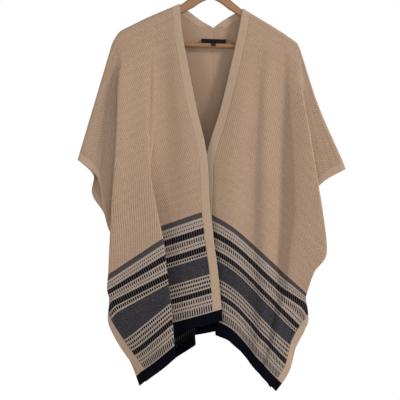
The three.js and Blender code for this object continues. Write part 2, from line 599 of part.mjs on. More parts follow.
// margin moves the outline outwards
function hangerArms(margin) {
  const onTop = ([x, z]) => [x, z - ARM_LOWERED];
  const outline = new THREE.Shape();
  outline.moveTo(0, UNDERSIDE_APEX);
  outline.quadraticCurveTo(20, UNDERSIDE_APEX - 5, 40, -113);
  outline.lineTo(190, -207);
  outline.quadraticCurveTo(196, -216, 203, -214);
  outline.quadraticCurveTo(209, -208, 203, -197);
  outline.lineTo(...onTop([196, -188.5]));
  outline.lineTo(...onTop(LEFT_TOP.tuck));
  outline.lineTo(...onTop(LEFT_TOP.edge));
  outline.quadraticCurveTo(45, -92, 16, HANGER_TOP - 1);
  outline.quadraticCurveTo(0, HANGER_TOP + 2, -16, HANGER_TOP);
  outline.quadraticCurveTo(-48, -88, ...onTop(RIGHT_TOP.edge));
  outline.lineTo(...onTop(RIGHT_TOP.ridge));
  outline.lineTo(...onTop([-206, -164]));
  outline.quadraticCurveTo(-217, -172, -217, -186);
  outline.lineTo(-216, -200);
  outline.quadraticCurveTo(-208, -208, -199, -199);
  outline.lineTo(-188, -182);
  outline.lineTo(-40, -111);
  outline.quadraticCurveTo(-20, UNDERSIDE_APEX - 5, 0, UNDERSIDE_APEX);
  const arms = new THREE.ExtrudeGeometry(outline, {
    depth: ARM_THICKNESS - 2 * ARM_BEVEL, curveSegments: 4, bevelEnabled: true, bevelSegments: 2,
    bevelThickness: ARM_BEVEL + margin, bevelSize: ARM_BEVEL, bevelOffset: margin - ARM_BEVEL,
  });
  arms.rotateX(Math.PI / 2);
  arms.translate(0, ARM_THICKNESS / 2 - ARM_BEVEL, 0);
  return arms;
}

// A round wire with closed ends along a path in the plane y = 0
function wire(path, radius, steps, sides) {
  const rings = spread(0, 1, steps).map((t) => ({
    centre: path.getPointAt(t), along: path.getTangentAt(t),
  }));
  const vertices = [];
  const index = [];
  for (const { centre, along } of rings) {
    const sideways = new THREE.Vector3(-along.z, 0, along.x);
    for (let k = 0; k < sides; k += 1) {
      const angle = 2 * Math.PI * k / sides;
      vertices.push(...centre.clone().addScaledVector(sideways, radius * Math.cos(angle))
        .add(new THREE.Vector3(0, radius * Math.sin(angle), 0)).toArray());
    }
  }
  for (let i = 0; i < steps; i += 1) {
    for (let k = 0; k < sides; k += 1) {
      const [a, b] = [i * sides + k, i * sides + (k + 1) % sides];
      index.push(a, b, b + sides, a, b + sides, a + sides);
    }
  }
  const lastRing = steps * sides;
  for (let k = 1; k + 1 < sides; k += 1) {
    index.push(0, k + 1, k, lastRing, lastRing + k, lastRing + k + 1);
  }
  return outwards(vertices, index);
}

// The hook's middle line, from its tip over the rail and down into the arms
const HOOK_CENTRE = WIRE_RADIUS - HOOK_RADIUS;
const HOOK_TURN = [200, 175, 150, 125, 100, 75, 50, 25, 0, -25, -50];
const SHANK = [[5.5, -37], [1, -43], [0, -50], [0, -60]];
const SHANK_END = -80;
function hookPath(end) {
  const onCircle = (degrees) => {
    const angle = degrees * Math.PI / 180;
    return [HOOK_RADIUS * Math.cos(angle), HOOK_CENTRE + HOOK_RADIUS * Math.sin(angle)];
  };
  return new THREE.CatmullRomCurve3([...HOOK_TURN.map(onCircle), ...SHANK, [0, end]]
    .map(([x, z]) => new THREE.Vector3(x, 0, z)));
}

function addHanger() {
  const socket = wire(hookPath(SHANK_END - SEAM_GAP), WIRE_RADIUS + SEAM_GAP, 40, 10);
  add("hanger_arms", cutBy(hangerArms(0), socket), wood);
  add("hook", wire(hookPath(SHANK_END), WIRE_RADIUS, 40, 10), steel);
  const barLine = new THREE.LineCurve3(...BAR_ENDS.map(([x, z]) => new THREE.Vector3(x, 0, z)));
  add("crossbar", cutBy(wire(barLine, BAR_RADIUS, 1, 20), hangerArms(SEAM_GAP)), wood);
}
addHanger();

// The plain woven label leans forward over the crossbar, and the size tab hangs in front of it
const LABEL = { width: 60, height: 15.5, thickness: 0.8, x: 8, top: [-186, 6.6] };
const TAB = { width: 11.6, height: 7.4, thickness: 0.6, x: 7.2 };
function addLabels() {
  const [topZ, topY] = LABEL.top;
  const clearance = BAR_RADIUS + SEAM_GAP + LABEL.thickness / 2;
  const lean = Math.PI / 4;
  const label = new THREE.BoxGeometry(LABEL.width, LABEL.thickness, LABEL.height);
  label.translate(0, 0, -LABEL.height / 2);
  label.rotateX(-lean);
  label.rotateY(Math.atan2(BAR_ENDS[0][1] - BAR_ENDS[1][1], BAR_ENDS[1][0] - BAR_ENDS[0][0]));
  label.translate(LABEL.x, topY, topZ);
  add("label", label, blackSatin);
  const tab = new THREE.BoxGeometry(TAB.width, TAB.thickness, TAB.height);
  tab.translate(TAB.x, -clearance, barHeight(TAB.x) + 1);
  add("size_tab", tab, brownSatin);
}
addLabels();

export default part;
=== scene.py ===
# An open-front knitted poncho on a wooden hanger, hung from its hook.
# Metres, +Z up, the front of the garment faces -Y, and the origin is the inside top of the hook.
# "Right" and "left" are the wearer's, so right is at -X.
import math

import bpy
import numpy as np
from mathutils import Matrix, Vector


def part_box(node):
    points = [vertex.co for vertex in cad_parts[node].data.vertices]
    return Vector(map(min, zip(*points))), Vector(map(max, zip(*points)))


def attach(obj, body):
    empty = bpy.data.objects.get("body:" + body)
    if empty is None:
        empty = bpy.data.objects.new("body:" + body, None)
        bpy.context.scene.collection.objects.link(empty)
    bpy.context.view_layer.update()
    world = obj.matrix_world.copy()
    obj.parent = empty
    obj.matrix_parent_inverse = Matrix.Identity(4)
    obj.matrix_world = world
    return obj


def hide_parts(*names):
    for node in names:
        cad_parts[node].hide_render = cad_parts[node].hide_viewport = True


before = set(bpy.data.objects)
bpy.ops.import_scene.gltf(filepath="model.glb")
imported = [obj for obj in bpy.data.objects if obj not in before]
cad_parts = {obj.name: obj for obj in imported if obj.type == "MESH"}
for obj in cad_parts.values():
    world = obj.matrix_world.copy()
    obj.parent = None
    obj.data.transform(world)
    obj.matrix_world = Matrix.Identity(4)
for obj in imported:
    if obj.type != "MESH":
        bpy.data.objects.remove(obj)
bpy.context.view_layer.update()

MM = 0.001
FRONT, BACK = -1, 1

# Driving dimensions of the cloth, in millimetres
WALL = 2.2
SEAM_GAP = 0.3  # between the solids
BAND_WIDTH = 21
BORDER_WIDTH = 20
HEM_HEIGHT = 27
FRONT_LENGTH = 771
BACK_LENGTH = 836
NECK_DROP = 102
STRIPES_ABOVE_HEM = 267  # from the top of the first stripe to the bottom of the hem
SEAM_DEPTH = (WALL + SEAM_GAP) / 2  # of the front's middle, where it meets the back at the side
SEAM = 0.02  # half the gap that is left between two sewn pieces
TRIM_FULLNESS = 1.15  # how much thicker the bands and hems are knitted

# How the cloth folds
FOLD_RADIUS = 4.5
SOFT_RADIUS = 12  # how much wider a soft fold turns
BEND_SHARE = 0.3  # the most of the way to the next fold that a bend takes
SOFT_BEND_SHARE = 0.08  # and how much more of it a soft one takes
CORNER_CUT = 0.25  # how far a soft bend cuts its corner, as a share of its radius
HEADING_PULL = 1.1  # how strongly a heading bends the spans beside it
SAG_LENGTH = 150  # how far down the cloth the sleeve's sag reaches

# Driving dimensions of the hanger
ARM_THICKNESS = 12
ARM_BEVEL = 4
BAR_RADIUS = 5.5
BAR_ENDS = ((-200.5, -196.1), (192.5, -206.9))  # x and z
WIRE_RADIUS = 1.8
HOOK_RADIUS = 19
SHANK_BOTTOM = -79.5  # z of the hook's lower end, in its hole in the arms
OVER_ARM = ARM_THICKNESS / 2 + 0.5 + WALL / 2  # from an arm's middle to that of the cloth
ARM_LOWERED = OVER_ARM - 4.6  # below the middle of the cloth that lies over it
TURN_LENGTH = OVER_ARM * math.pi / 2

# The fineness of the cloth's mesh
COURSE_STEP = 6.0
FACES_A_SPAN = 7

# The cloth is drawn by its folds, as in the part's solids. A row is one course of the knit at its
# distance down from the shoulder line, and a column is one fold line as (x, z, depth).
LINES = ("edge", "tuck", "ridge", "crease", "under", "border", "side")
RIGHT_TOP = dict(edge=(-73, -103), tuck=(-135, -129), ridge=(-155, -138),
                 crease=(-218, -169), under=(-234, -194), side=(-318, -477))
RIGHT_FRONT = (
    dict(down=60, edge=(-69, -163, 11), tuck=(-132, -190, 9), ridge=(-152, -199, 11),
         crease=(-215, -226, 13), under=(-226, -254, 8), side=(-272, -517, 10), pleat=0, over=0,
         below=0),
    dict(down=130, edge=(-57, -231, 15), tuck=(-128, -261, 12), ridge=(-150, -271, 15),
         crease=(-221, -303, 21), under=(-193, -314, 9), side=(-259, -584, 11), pleat=0.1,
         over=1, below=1),
    dict(down=250, edge=(-34, -349, 20), tuck=(-134, -386, 17), ridge=(-150, -393, 22),
         crease=(-226, -434, 28), under=(-185, -456, 11), side=(-240, -652, SEAM_DEPTH),
         pleat=0.2, over=1, below=1),
    dict(down=365, edge=(-9, -462, 24), tuck=(-146, -510, 18), ridge=(-142, -518, 29),
         crease=(-235, -579, 28), under=(-202, -592, 12), side=(-206, -684, SEAM_DEPTH),
         pleat=0.7, over=1, below=0.3),
    dict(down=500, edge=(-1, -595, 26), tuck=(-159, -650, 19), ridge=(-114, -665, 40),
         crease=(-244, -751, 24), under=(-232, -758, 12), side=(-190, -786, SEAM_DEPTH),
         pleat=1, over=1, below=0),
    dict(down=540, edge=(4, -635, 26), tuck=(-159, -690, 20), ridge=(-108, -706, 42),
         crease=(-245, -791, 23), under=(-239, -799, 12), side=(-208, -820, SEAM_DEPTH),
         pleat=1, over=0.7, below=0),
    dict(down=590, edge=(10, -685, 26), tuck=(-159, -740, 20), ridge=(-102, -757, 43),
         crease=(-229, -821, 26), under=(-238, -831, 21), side=(-240, -860, SEAM_DEPTH),
         border=(-243, -842, 14), pleat=1, over=0, below=0, wrap=0.8),
    dict(down=640, edge=(17, -735, 26), tuck=(-159, -789, 21), ridge=(-96, -808, 45),
         crease=(-190, -884, 26), under=(-202, -893, 20), side=(-226, -909, SEAM_DEPTH),
         pleat=1, over=0, below=0),
    dict(down=767, edge=(29, -861, 26), tuck=(-159, -911, 22), ridge=(-84, -949, 47),
         crease=(-126, -986, 28), under=(-134, -992, 20), side=(-155, -1009, 4), pleat=1,
         over=0, below=0),
)
RIGHT_BACK = (
    dict(down=60, edge=(-23, -141, 8), tuck=(-127, -180, 9), ridge=(-149, -190, 8.5),
         crease=(-212, -220, 11), under=(-224, -248, 8), side=(-281, -515, 9), pleat=0, over=0,
         below=0),
    dict(down=98, edge=(7, -158, 9), tuck=(-121, -212, 10), ridge=(-145, -222, 9),
         crease=(-215, -256, 16), under=(-213, -278, 8), side=(-285, -558, 14), neck=True,
         pleat=0, over=0.6, below=0.6),
    dict(down=160, edge=(6, -220, 10), tuck=(-114, -270, 13), ridge=(-137, -279, 10),
         crease=(-216, -318, 20), under=(-194, -334, 8), side=(-257, -603, 10), pleat=0.1,
         over=1, below=1),
    dict(down=250, edge=(6, -310, 12), tuck=(-104, -357, 18), ridge=(-119, -364, 12),
         crease=(-219, -412, 23), under=(-190, -432, 9), side=(-240, -652, SEAM_DEPTH),
         pleat=0.3, over=1, below=1),
    dict(down=390, edge=(9, -450, 15), tuck=(-75, -484, 26), ridge=(-78, -488, 14),
         crease=(-226, -568, 22), under=(-200, -586, 9), side=(-206, -684, SEAM_DEPTH),
         pleat=0.7, over=1, below=0.3),
    dict(down=545, edge=(11, -605, 18), tuck=(-66, -635, 31), ridge=(-56, -640, 15),
         crease=(-239, -738, 20), under=(-227, -749, 11), side=(-190, -786, SEAM_DEPTH),
         pleat=1, over=1, below=0),
    dict(down=635, edge=(12, -695, 19), tuck=(-64, -721, 33), ridge=(-50, -731, 16),
         crease=(-225, -820, 22), under=(-233, -831, 17), side=(-238, -860, SEAM_DEPTH),
         border=(-239, -842, 11), pleat=1, over=0, below=0, wrap=0.8),
    dict(down=700, edge=(12, -760, 20), tuck=(-62, -784, 34), ridge=(-44, -795, 16),
         crease=(-188, -884, 20), under=(-199, -893, 15), side=(-223, -914, SEAM_DEPTH),
         pleat=1, over=0, below=0),
    dict(down=765, edge=(12.5, -824, 21), tuck=(-60, -845, 35), ridge=(-40, -858, 16.5),
         crease=(-161, -939, 20), under=(-171, -948, 15), side=(-192, -962, SEAM_DEPTH),
         pleat=1, over=0, below=0),
    dict(down=832, edge=(13, -890, 22), tuck=(-58, -905, 36), ridge=(-36, -923, 17),
         crease=(-138, -994, 20), under=(-148, -1002, 14), side=(-170, -1020, 4), pleat=1,
         over=0, below=0),
)
LEFT_TOP = dict(edge=(77, -114), tuck=(145, -155), ridge=(174, -173),
                crease=(208, -197), under=(214, -211), side=(324, -499))
LEFT_FRONT = (
    dict(down=60, edge=(66, -174, 9.5), tuck=(141, -216, 13), ridge=(178, -239, 9),
         crease=(214, -266, 17), under=(223, -292, 11), side=(270, -530, 10), pleat=0, over=0,
         below=0),
    dict(down=130, edge=(51, -242, 10.5), tuck=(135, -289, 18), ridge=(176, -313, 9),
         crease=(228, -362, 27), under=(214, -374, 13), side=(228, -580, 10), pleat=0, over=1,
         below=1),
    dict(down=250, edge=(23, -357, 11), tuck=(133, -421, 22), ridge=(173, -446, 9),
         crease=(255, -530, 31), under=(212, -548, 13), side=(208, -640, SEAM_DEPTH), pleat=0,
         over=1, below=1),
    dict(down=365, edge=(-10, -467, 11), tuck=(134, -551, 26), ridge=(172, -582, 9),
         crease=(276, -695, 30), under=(238, -712, 14), side=(182, -690, SEAM_DEPTH), pleat=0,
         over=1, below=0),
    dict(down=430, edge=(-12.5, -531, 11), tuck=(133, -627, 28), ridge=(169, -658, 10),
         crease=(247, -745, 28), under=(225, -755, 14), side=(184, -748, SEAM_DEPTH), pleat=0,
         over=1, below=0),
    dict(down=500, edge=(-14, -599, 11), tuck=(132, -707, 29), ridge=(166, -739, 13),
         crease=(229, -796, 24), under=(220, -801, 13), side=(188, -810, SEAM_DEPTH), pleat=0,
         over=0.9, below=0),
    dict(down=540, edge=(-11, -640, 11), tuck=(131, -749, 30), ridge=(164, -780, 15),
         crease=(223, -818, 22), under=(230, -829, 18), side=(227, -859, SEAM_DEPTH),
         border=(233, -841, 12), pleat=0, over=0, below=0, wrap=0.8),
    dict(down=580, edge=(-8, -681, 11), tuck=(131, -791, 30), ridge=(158, -818, 17),
         crease=(196, -856, 22), under=(206, -866, 16), side=(226, -886, SEAM_DEPTH), pleat=0,
         over=0, below=0),
    dict(down=640, edge=(-3, -741, 11), tuck=(128, -851, 30), ridge=(149, -873, 20),
         crease=(177, -899, 22), under=(186, -907, 16), side=(206, -924, SEAM_DEPTH), pleat=0,
         over=0, below=0),
    dict(down=700, edge=(3, -806, 11), tuck=(119, -910, 30), ridge=(137, -927, 21),
         crease=(161, -955, 22), under=(169, -963, 17), side=(189, -984, SEAM_DEPTH), pleat=0,
         over=0, below=0),
    dict(down=767, edge=(12, -897, 11), tuck=(102, -973, 30), ridge=(115, -987, 23),
         crease=(130, -1004, 23), under=(138, -1012, 17), side=(157, -1032, 4), pleat=0, over=0,
         below=0),
)
LEFT_BACK = (
    dict(down=60, edge=(33, -140, 8), tuck=(143, -211, 10), ridge=(181, -238, 11),
         crease=(210, -258, 14), under=(219, -284, 11), side=(268, -524, 10), pleat=0, over=0,
         below=0),
    dict(down=98, edge=(7, -158, 9), tuck=(143, -249, 12), ridge=(184, -277, 12),
         crease=(213, -304, 19), under=(211, -328, 12), side=(243, -550, 10), neck=True,
         pleat=0, over=0.6, below=0.6),
    dict(down=160, edge=(6, -220, 10), tuck=(143, -318, 17), ridge=(185, -348, 13),
         crease=(222, -390, 23), under=(206, -408, 13), side=(224, -586, 9), pleat=0, over=1,
         below=1),
    dict(down=250, edge=(6, -310, 12), tuck=(143, -417, 22), ridge=(187, -458, 14),
         crease=(240, -506, 26), under=(210, -526, 13), side=(208, -640, SEAM_DEPTH), pleat=0,
         over=1, below=1),
    dict(down=390, edge=(9, -450, 15), tuck=(143, -573, 28), ridge=(188, -618, 15),
         crease=(262, -680, 26), under=(232, -700, 14), side=(182, -690, SEAM_DEPTH), pleat=0,
         over=1, below=0),
    dict(down=545, edge=(11, -605, 18), tuck=(138, -720, 31), ridge=(176, -757, 16),
         crease=(225, -798, 23), under=(216, -804, 13), side=(188, -810, SEAM_DEPTH), pleat=0,
         over=0.9, below=0),
    dict(down=595, edge=(12, -655, 19), tuck=(135, -765, 32), ridge=(170, -800, 17),
         crease=(214, -822, 20), under=(222, -833, 16), side=(224, -861, SEAM_DEPTH),
         border=(228, -844, 12), pleat=0, over=0, below=0, wrap=0.8),
    dict(down=700, edge=(12, -760, 20), tuck=(124, -861, 32), ridge=(152, -888, 17),
         crease=(172, -904, 19), under=(182, -912, 15), side=(203, -931, SEAM_DEPTH), pleat=0,
         over=0, below=0),
    dict(down=832, edge=(13, -890, 22), tuck=(92, -953, 32), ridge=(105, -969, 20),
         crease=(117, -986, 20), under=(126, -998, 15), side=(144, -1024, 4), pleat=0, over=0,
         below=0),
)

# Softer folds between those lines: the line they follow, how far along, how far they stand out
# half way down and at the hem, how far the sleeve's upper line hangs in from the straight one,
# and how far the hem rides up there.
RIGHT_FRONT_WAVES = (("edge", 0.36, 5, 4, 0, 0), ("edge", 0.7, -6, -2, 0, 0),
                     ("ridge", 0.5, 2, 12, 0, 0), ("under", 0.5, 4, 0, 0, 0))
RIGHT_BACK_WAVES = (("edge", 0.36, 2, -4, 0, 0), ("edge", 0.7, 3, 2, 0, 0),
                    ("ridge", 0.5, 12, 22, 0, 0), ("under", 0.5, 4, 0, 0, 0))
LEFT_FRONT_WAVES = (("edge", 0.42, 6, 9, 0, 16), ("edge", 0.78, -10, -8, 0, 9),
                    ("ridge", 0.34, 18, 6, 0, 0), ("under", 0.5, 4, 0, 7.5, 0))
LEFT_BACK_WAVES = (("edge", 0.36, 10, 16, 0, 0), ("edge", 0.72, -7, -12, 0, 0),
                   ("ridge", 0.5, 9, 5, 0, 0), ("under", 0.5, 4, 0, 7.5, 0))


def with_border(row):
    """The row's border seam, where it has none: on the straight way from under to side."""
    if "border" in row:
        return row
    under, side = np.array(row["under"], float), np.array(row["side"], float)
    way = side - under
    return {**row, "border": side - way / np.linalg.norm(way) * BORDER_WIDTH}


class Half:
    """One half of a cloth: the front or the back of one side."""

    def __init__(self, top, table, waves, outward, length):
        first = {"down": 0, **{line: (*place, OVER_ARM) for line, place in top.items()}}
        self.rows = [with_border(row) for row in [first, *table]]
        self.waves, self.outward, self.length = waves, outward, length
        self.downs = [row["down"] for row in self.rows]
        self.courses = {}
        neck = [i for i, row in enumerate(self.rows) if row.get("neck")]
        self.neck = neck[0] if neck else None


def along_rows(downs, values, down, flat=False):
    """A smooth value down the rows. A flat one never swings past the values of its rows."""
    last = len(downs) - 1
    i = 0
    while i < last - 1 and down > downs[i + 1]:
        i += 1

    def rise(k):
        return (values[k + 1] - values[k]) / (downs[k + 1] - downs[k])

    def slope(k):
        if k in (0, last):
            return 0 if flat else rise(0 if k == 0 else last - 1)
        a, b = rise(k - 1), rise(k)
        if flat:
            return 0 if a * b <= 0 else 2 * a * b / (a + b)
        return (values[k + 1] - values[k - 1]) / (downs[k + 1] - downs[k - 1])

    span = downs[i + 1] - downs[i]
    t = (down - downs[i]) / span
    return ((2 * t**3 - 3 * t**2 + 1) * values[i] + (t**3 - 2 * t**2 + t) * span * slope(i)
            + (3 * t**2 - 2 * t**3) * values[i + 1] + (t**3 - t**2) * span * slope(i + 1))


def over_arm(distance):
    """The cloth turns over the arm in a half circle. Gives how far it has dropped, how far it has
    come past the turn, and its share of the full depth."""
    if distance >= TURN_LENGTH:
        return distance - TURN_LENGTH + OVER_ARM, distance - TURN_LENGTH, 1
    angle = distance / OVER_ARM
    return OVER_ARM * (1 - math.cos(angle)), 0, math.sin(angle)


def line_point(half, line, distance):
    drop, past, share = over_arm(distance)
    rows, downs = half.rows, half.downs
    if line == "edge" and half.neck is not None:
        # The edge turns a corner at the neck point, with a curve of its own above and below it
        part = slice(0, half.neck + 1) if drop < downs[half.neck] else slice(half.neck, None)
        rows, downs = rows[part], downs[part]
    x = along_rows(downs, [row[line][0] for row in rows], drop)
    z = along_rows(downs, [row[line][1] for row in rows], drop)
    depth = share * along_rows(half.downs, [row[line][2] for row in half.rows], past, True)
    return np.array([x, half.outward * depth, z])


def unit(a, b):
    way = b - a
    return way / np.linalg.norm(way)


def fold_points(before, at, after, turn, amount):
    """The three points of a fold and the cloth's heading at each. turn is the way it turns, and a
    fold with a small amount is a soft one, whose bend cuts the corner."""
    into, out = unit(before, at), unit(at, after)
    reach = min(np.linalg.norm(at - before), np.linalg.norm(after - at))
    soft = max(0.0, 1 - 2 * amount)
    most = (BEND_SHARE + SOFT_BEND_SHARE * soft) * reach / (1 + amount)
    radius = min(FOLD_RADIUS + SOFT_RADIUS * soft, most)
    heading = (into + out) * (1 - amount) / 2 + turn * amount
    return [(at - into * radius - turn * radius * amount, into),
            (at + (out - into) * radius * CORNER_CUT * soft, heading / np.linalg.norm(heading)),
            (at + out * radius + turn * radius * amount, out)]


def course(half, distance):
    """The points that one course of the knit passes through, with the cloth's heading at each."""
    key = round(distance, 4)
    if key in half.courses:
        return half.courses[key]
    p = {line: line_point(half, line, distance) for line in LINES}
    past = over_arm(distance)[1]
    reach = distance / half.length

    def amount(name):
        return along_rows(half.downs, [row.get(name, 0) for row in half.rows], past, True)

    def soft(wave, to):
        """The place of a soft wave. It is flat at the shoulder and rises in the first quarter."""
        after, at, middle, hem, sag, lift = wave
        rise = (min(1, reach * 4) * middle * max(0, 1 - abs(2 * reach - 1))
                + max(0, 2 * reach - 1) * hem)
        shift = -np.sign(p[to][0]) * sag * max(0, 1 - distance / SAG_LENGTH)
        moved = np.array([shift, half.outward * rise, lift * reach])
        return p[after] + (p[to] - p[after]) * at + moved

    first, second, third, fourth = half.waves
    near_edge, near_tuck = soft(first, "tuck"), soft(second, "tuck")
    middle, sleeve = soft(third, "crease"), soft(fourth, "border")
    to_viewer, inward = np.array([0.0, -1, 0]), np.array([0.0, -half.outward, 0])
    points = [(p["edge"], None), (near_edge, None), (near_tuck, None),
              *fold_points(near_tuck, p["tuck"], p["ridge"], to_viewer, amount("pleat")),
              *fold_points(p["tuck"], p["ridge"], middle, to_viewer, amount("pleat")),
              (middle, None),
              *fold_points(middle, p["crease"], p["under"], inward, amount("over")),
              *fold_points(p["crease"], p["under"], sleeve, inward, amount("below")),
              (sleeve, None), (p["border"], None), (p["side"], None)]
    at = np.array([point for point, _ in points])
    last = len(points) - 1
    headings = np.array([
        heading if heading is not None else unit(at[max(i - 1, 0)], at[min(i + 1, last)])
        for i, (_, heading) in enumerate(points)])
    wrap = amount("wrap")
    headings[last - 1] += (unit(at[last - 2], at[last - 1]) - headings[last - 1]) * wrap
    to_middle = np.array([-np.sign(p["side"][0]), 0, 0])
    headings[last] += (to_middle - headings[last]) * wrap
    headings[last] /= np.linalg.norm(headings[last])
    if half.outward == BACK:
        # The two backs meet flat at the centre seam
        headings[0][1] = 0
        headings[0] /= np.linalg.norm(headings[0])
    half.courses[key] = (at, headings)
    return half.courses[key]


# A course's spans, counted from the edge: the last one lies in the side border
BORDER_SPAN = 17
LAST_SPAN = 18
STEPS_A_SPAN = 12


class Cloth:
    """One whole cloth. A place on it is a position, which counts the spans of a course from the
    edge, and a distance below the shoulder line, negative in front of it."""

    def __init__(self, front, back):
        self.front, self.back = front, back
        self.measured = {}

    def points(self, positions, distance):
        at, headings = course(self.front if distance < 0 else self.back, abs(distance))
        positions = np.asarray(positions, float)
        i = np.clip(np.floor(positions).astype(int), 0, len(at) - 2)
        t = (positions - i)[:, None]
        pull = HEADING_PULL * np.linalg.norm(at[i + 1] - at[i], axis=1)[:, None]
        return (at[i] * (2 * t**3 - 3 * t**2 + 1) + headings[i] * (t**3 - 2 * t**2 + t) * pull
                + at[i + 1] * (3 * t**2 - 2 * t**3) + headings[i + 1] * (t**3 - t**2) * pull)

    def lengths(self, distance):
        """The lengths of cloth from the edge to evenly spaced positions on a course."""
        key = round(distance, 4)
        if key not in self.measured:
            steps = np.arange(LAST_SPAN * STEPS_A_SPAN + 1) / STEPS_A_SPAN
            points = self.points(steps, distance)
            gone = np.linalg.norm(np.diff(points, axis=0), axis=1)
            self.measured[key] = (steps, np.concatenate([[0], np.cumsum(gone)]))
        return self.measured[key]

    def position_at(self, distance, length):
        steps, lengths = self.lengths(distance)
        return np.interp(length, lengths, steps)

    def length_at(self, distance, position):
        steps, lengths = self.lengths(distance)
        return np.interp(position, steps, lengths)

    def normals(self, positions, distance):
        """Unit normals towards the garment's outside."""
        positions = np.asarray(positions, float)
        beside, below = 0.04, 1
        across = (self.points(np.minimum(LAST_SPAN, positions + beside), distance)
                  - self.points(np.maximum(0, positions - beside), distance))
        down = (self.points(positions, min(BACK_LENGTH, distance + below))
                - self.points(positions, max(-FRONT_LENGTH, distance - below)))
        normal = np.cross(across, down)
        normal /= np.linalg.norm(normal, axis=1)[:, None]
        return normal * self.outside

    @property
    def outside(self):
        return 1 if self.front.rows[0]["edge"][0] > 0 else -1


def moved_edge(table, shift):
    """A back table whose centre seam is moved half of its gap away from the seam."""
    return [row if row["down"] < NECK_DROP else
            {**row, "edge": (row["edge"][0] + shift, *row["edge"][1:])} for row in table]


def make_cloths():
    right = Cloth(
        Half(RIGHT_TOP, RIGHT_FRONT, RIGHT_FRONT_WAVES, FRONT, FRONT_LENGTH),
        Half(RIGHT_TOP, moved_edge(RIGHT_BACK, -SEAM), RIGHT_BACK_WAVES, BACK, BACK_LENGTH))
    left = Cloth(
        Half(LEFT_TOP, LEFT_FRONT, LEFT_FRONT_WAVES, FRONT, FRONT_LENGTH),
        Half(LEFT_TOP, moved_edge(LEFT_BACK, SEAM), LEFT_BACK_WAVES, BACK, BACK_LENGTH))
    return {"right": right, "left": left}


def add_wall(name, outer, inner, uvs, materials):
    """A closed sheet between two grids of points, with the outer face in the first material and
    the inner face in the second. uvs gives a face's place on the knit from the row and column of
    its corner and from the face's first row."""
    rows, columns = outer.shape[:2]
    count = rows * columns
    vertices = np.concatenate([outer.reshape(-1, 3), inner.reshape(-1, 3)]) * MM
    faces, corner_uvs, slots = [], [], []

    def add(corners, places, first_row, slot):
        faces.append(corners)
        corner_uvs.extend(uvs(row, column, first_row) for row, column in places)
        slots.append(slot)

    for i in range(rows - 1):
        for j in range(columns - 1):
            k = i * columns + j
            add((k, k + 1, k + columns + 1, k + columns),
                ((i, j), (i, j + 1), (i + 1, j + 1), (i + 1, j)), i, 0)
            add((count + k, count + k + columns, count + k + columns + 1, count + k + 1),
                ((i, j), (i + 1, j), (i + 1, j + 1), (i, j + 1)), i, 1)

    def rim(a, b, place_a, place_b, first_row):
        add((a, a + count, b + count, b), (place_a, place_a, place_b, place_b), first_row, 0)

    for j in range(columns - 1):
        rim(j, j + 1, (0, j), (0, j + 1), 0)
        k = (rows - 1) * columns + j
        rim(k + 1, k, (rows - 1, j + 1), (rows - 1, j), rows - 2)
    for i in range(rows - 1):
        rim((i + 1) * columns, i * columns, (i + 1, 0), (i, 0), i)
        k = i * columns + columns - 1
        rim(k, k + columns, (i, columns - 1), (i + 1, columns - 1), i)

    mesh = bpy.data.meshes.new(name)
    mesh.from_pydata(vertices.tolist(), [], faces)
    layer = mesh.uv_layers.new(name="knit")
    layer.data.foreach_set("uv", np.array(corner_uvs, float).ravel())
    for material in materials:
        mesh.materials.append(material)
    mesh.polygons.foreach_set("material_index", slots)
    mesh.polygons.foreach_set("use_smooth", [True] * len(faces))
    mesh.update()
    piece = bpy.data.objects.new(name, mesh)
    bpy.context.scene.collection.objects.link(piece)
    return piece


ROUNDING = 2.4  # how far from a piece's edge its face starts to turn down
EDGE_STEPS = (0, 0.25, 0.8, 1.6, ROUNDING)
EDGE_ROOM = 4  # no even step lies closer than this to a piece's end
SHOULDER_STEPS = (-15, -9, -4.5, -1.5, 1.5, 4.5, 9, 15)
SEAM_HALF = 0.35  # half the thickness at the very edge
RIPPLE_FADE = 120  # the knit lies smooth on the arm and is fully uneven this far down


def courses_between(first, last, *more):
    """Distances of the mesh's courses: even steps, with finer ones at both ends."""
    inner = np.arange(math.ceil(first / COURSE_STEP), math.floor(last / COURSE_STEP) + 1)
    inner = [d for d in inner * COURSE_STEP if first + EDGE_ROOM < d < last - EDGE_ROOM]
    over = [d for d in SHOULDER_STEPS if first < d < last]
    ends = [first + step for step in EDGE_STEPS] + [last - step for step in EDGE_STEPS]
    return sorted(set(inner + over + ends + list(more)))


def ripple(length, distance):
    """The small unevenness of hanging knit, in millimetres."""
    a = np.sin(length / 31 + distance / 97 + 1.3) * np.sin(distance / 83 - length / 140)
    b = np.sin(length / 13 - distance / 160 + 0.4) * np.sin(distance / 57 + length / 71 + 2)
    return 0.7 * a + 0.35 * b


